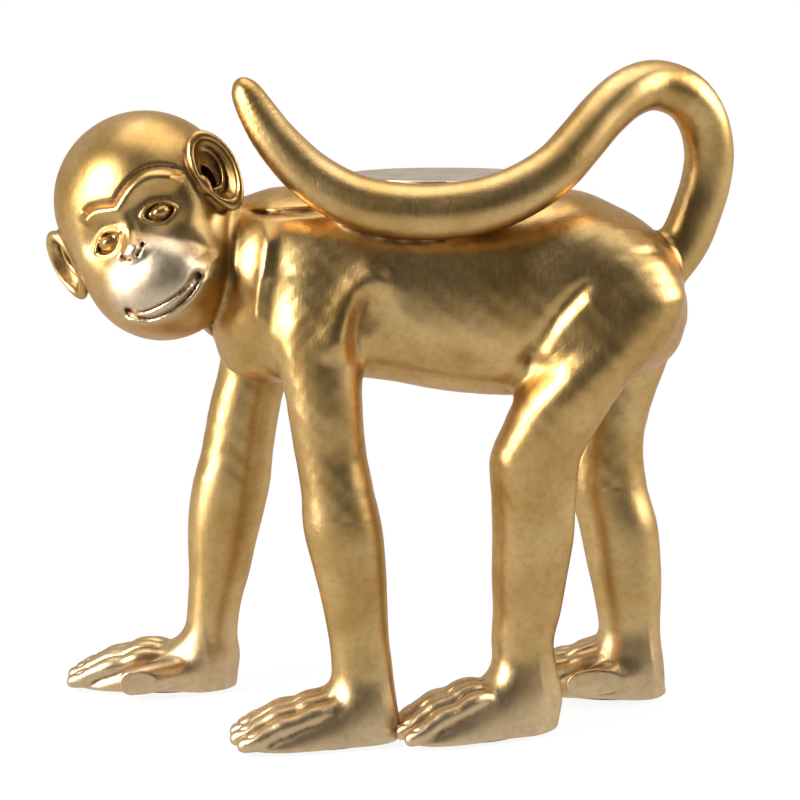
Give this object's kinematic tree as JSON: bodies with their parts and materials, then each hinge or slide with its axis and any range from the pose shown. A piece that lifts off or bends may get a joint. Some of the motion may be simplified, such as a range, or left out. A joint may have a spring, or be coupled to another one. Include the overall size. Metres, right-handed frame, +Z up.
{
  "type": "monkey figurine candle holder",
  "caption": "Gold monkey figurine walking on all fours with a curled tail, carrying a round candle plate on its back.",
  "frame": {"origin": "centre of the whole figure's footprint, on the surface that it stands on", "axes": "+Z up, the figure faces -X, its left side is -Y, and +Y is its right side"},
  "size_m": [0.1835, 0.0793, 0.1765],
  "materials": {
    "gold_resin": "brushed satin metallic gold paint with brown patina in the creases, over cast resin",
    "gold_plate": "satin gold paint with a darker brown edge",
    "dowel_steel": "bare drawn steel, hidden inside the joints",
    "pad_rubber": "matt dark rubber"
  },
  "bodies": {
    "root": {"torso": "gold_resin", "head": "gold_resin", "foreleg_left": "gold_resin", "foreleg_right": "gold_resin", "hindleg_left": "gold_resin", "hindleg_right": "gold_resin", "tail": "gold_resin", "candle_plate": "gold_plate", "left_shoulder_dowel": "dowel_steel", "right_shoulder_dowel": "dowel_steel", "left_hip_dowel": "dowel_steel", "right_hip_dowel": "dowel_steel", "neck_dowel": "dowel_steel", "tail_root_dowel": "dowel_steel", "foreleg_left_pad": "pad_rubber", "foreleg_right_pad": "pad_rubber", "hindleg_left_pad": "pad_rubber", "hindleg_right_pad": "pad_rubber"}
  },
  "joints": []
}
